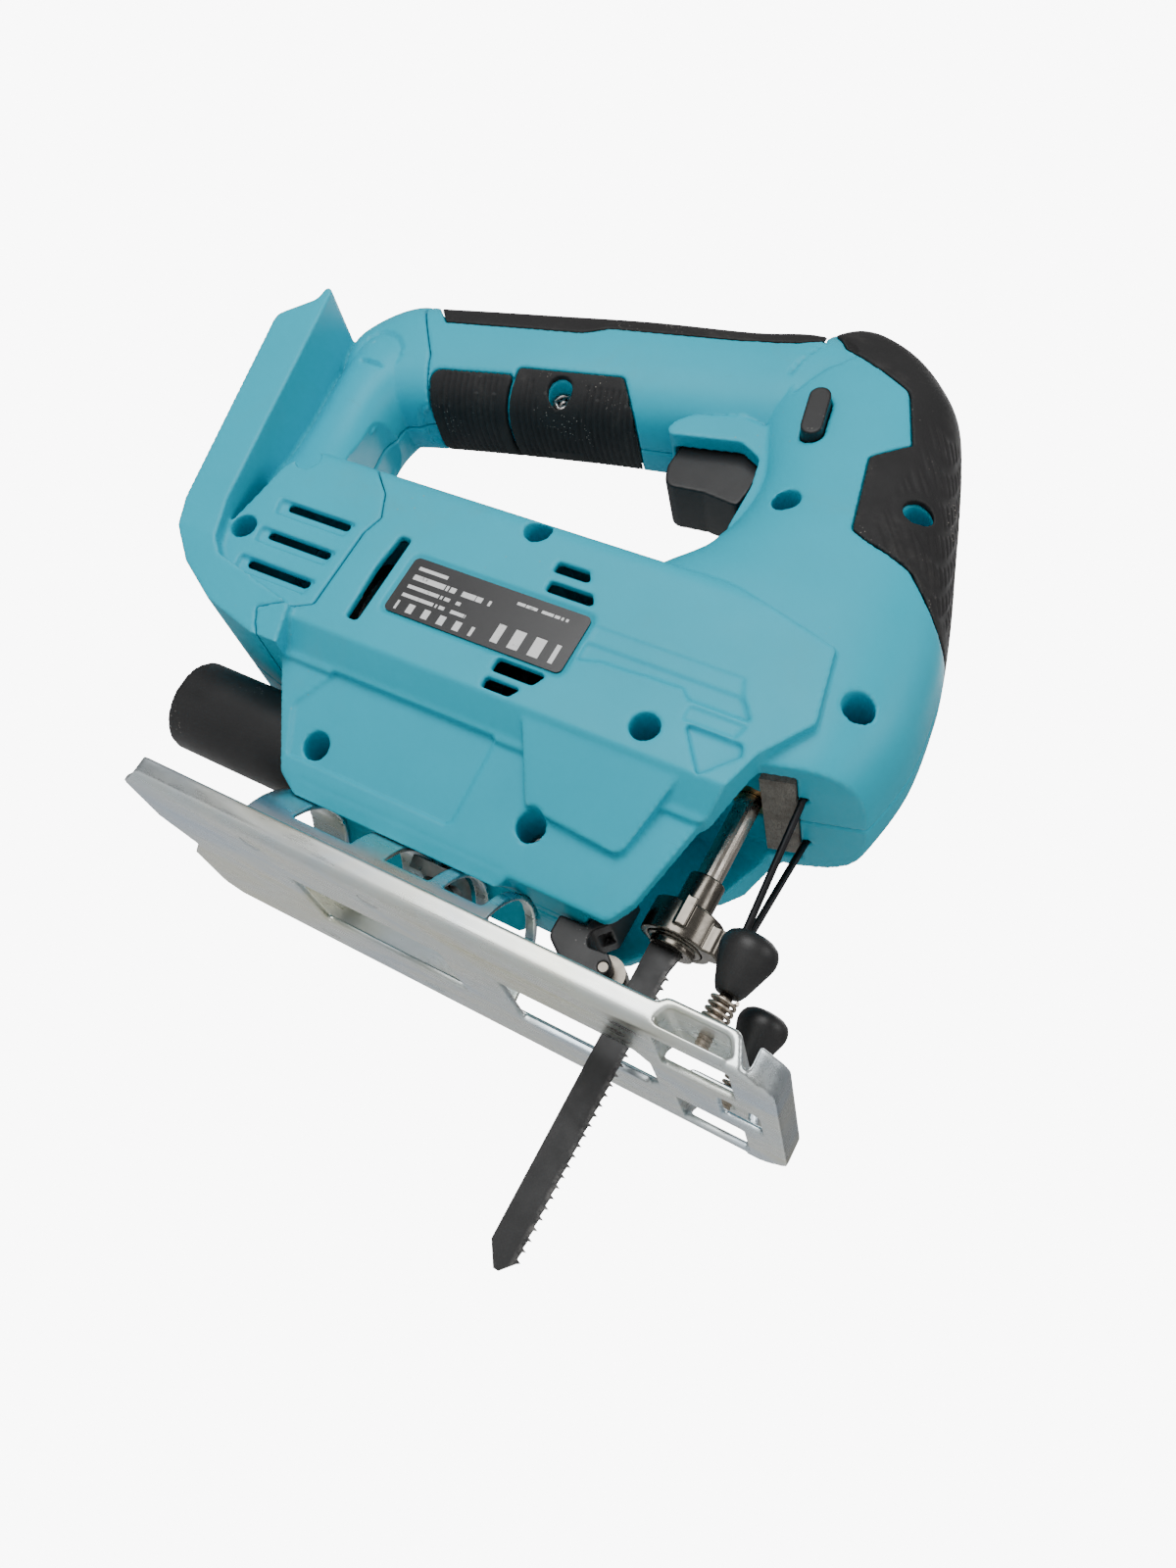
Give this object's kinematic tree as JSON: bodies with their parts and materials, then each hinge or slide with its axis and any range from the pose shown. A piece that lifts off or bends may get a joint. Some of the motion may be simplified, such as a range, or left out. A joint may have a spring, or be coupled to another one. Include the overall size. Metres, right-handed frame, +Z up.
{
  "type": "jigsaw power tool",
  "caption": "Cordless D-handle jigsaw with a tilting sheet-metal base, blade in a toolless clamp, trigger, side lock button, wire guard and rear dust tube; battery bay empty.",
  "frame": {"origin": "on the underside of the base plate, in the middle plane of the blade, on the bridge between the front and the rear window, 20 mm ahead of the middle of the plate's side lips", "axes": "+X is the cutting direction, +Y is the tool's left, +Z is up from the sole"},
  "size_m": [0.2276, 0.076, 0.2702],
  "materials": {
    "turquoise_plastic": "satin moulded plastic, turquoise",
    "black_rubber": "matte moulded rubber, textured",
    "black_plastic": "fine-grained black plastic",
    "zinc_steel": "bright zinc-plated sheet steel",
    "steel": "plain machined steel",
    "dark_steel": "blackened steel",
    "aluminium": "die-cast aluminium",
    "brass": "sintered bronze and plain brass",
    "felt": "pressed grey felt"
  },
  "bodies": {
    "housing": {"housing_right": "turquoise_plastic", "housing_left": "turquoise_plastic", "rear_housing_right": "turquoise_plastic", "rear_housing_left": "turquoise_plastic", "screw_rear": "steel", "screw_skirt": "steel", "screw_gear": "steel", "screw_panel": "steel", "screw_nose": "steel", "screw_front_grip": "steel", "screw_trigger": "steel", "screw_handle": "steel", "screw_top_rear": "steel", "screw_top_mid": "steel", "nose_grip": "black_rubber", "handle_top_grip": "black_rubber", "handle_grip_front": "black_rubber", "handle_grip_rear": "black_rubber", "label_plate": "black_plastic", "switch_body": "black_plastic", "terminal_block": "black_plastic", "terminal_blade_right": "brass", "terminal_blade_left": "brass", "motor_can": "steel", "motor_end_cap": "black_plastic", "gear_plate": "aluminium", "front_bearing": "steel", "gear_axle": "steel", "lower_bushing": "brass", "upper_bushing": "brass", "felt_plate": "felt", "roller_fork": "black_plastic", "roller_pin": "steel", "wire_guard": "dark_steel", "bevel_clamp_shoe": "steel", "bevel_clamp_screw": "dark_steel"},
    "trigger": {"trigger": "black_plastic"},
    "lock_button": {"lock_button": "black_plastic"},
    "armature": {"armature_shaft": "steel", "cooling_fan": "black_plastic"},
    "drive_gear": {"drive_gear": "steel"},
    "plunger": {"plunger": "steel", "clamp_body": "dark_steel", "blade": "dark_steel"},
    "clamp_collar": {"clamp_collar": "dark_steel"},
    "guide_roller": {"guide_roller": "steel"},
    "base": {"base_plate": "zinc_steel", "bevel_arch": "zinc_steel", "rivet_rear_right": "zinc_steel", "rivet_rear_left": "zinc_steel", "rivet_front_right": "zinc_steel", "rivet_front_left": "zinc_steel", "fence_spring_right": "steel", "fence_spring_left": "steel"},
    "fence_screw_right": {"fence_knob_right": "black_plastic", "fence_stem_right": "steel"},
    "fence_screw_left": {"fence_knob_left": "black_plastic", "fence_stem_left": "steel"},
    "dust_port": {"dust_port": "black_plastic"}
  },
  "joints": [
    {"name": "trigger_pull", "type": "slide", "parent": "housing", "child": "trigger", "axis": [0, 0, 1], "range_m": [0, 0.006], "stiffness_N_per_m": 900, "springref_m": -0.002},
    {"name": "lock_slide", "type": "slide", "parent": "housing", "child": "lock_button", "axis": [0, 1, 0], "range_m": [-0.0025, 0.0025]},
    {"name": "armature_spin", "type": "hinge", "parent": "housing", "child": "armature", "pos_m": [0, 0, 0.079], "axis": [1, 0, 0], "continuous": true},
    {"name": "gear_spin", "type": "hinge", "parent": "housing", "child": "drive_gear", "pos_m": [0, 0, 0.099], "axis": [1, 0, 0], "continuous": true},
    {"name": "plunger_stroke", "type": "slide", "parent": "housing", "child": "plunger", "axis": [0, 0, 1], "range_m": [-0.006, 0.014]},
    {"name": "collar_twist", "type": "hinge", "parent": "plunger", "child": "clamp_collar", "pos_m": [0.0365, 0, 0.033], "axis": [0, 0, 1], "range_deg": [0, 60], "stiffness_Nm_per_rad": 0.06, "springref_deg": -11.46},
    {"name": "roller_spin", "type": "hinge", "parent": "housing", "child": "guide_roller", "pos_m": [0.0264, 0, 0.0152], "axis": [0, 1, 0], "continuous": true},
    {"name": "base_tilt", "type": "hinge", "parent": "housing", "child": "base", "pos_m": [0, 0, 0], "axis": [1, 0, 0], "range_deg": [-45, 45]},
    {"name": "fence_screw_right_turn", "type": "hinge", "parent": "base", "child": "fence_screw_right", "pos_m": [0.0584, -0.026, 0.02], "axis": [0, 0, 1], "continuous": true},
    {"name": "fence_screw_left_turn", "type": "hinge", "parent": "base", "child": "fence_screw_left", "pos_m": [0.0584, 0.026, 0.02], "axis": [0, 0, 1], "continuous": true},
    {"name": "dust_port_pull", "type": "slide", "parent": "housing", "child": "dust_port", "axis": [-1, 0, 0], "range_m": [0, 0.045]}
  ],
  "couplings": [
    {"joint": "gear_spin", "follows": "armature_spin", "ratio": -0.25}
  ]
}
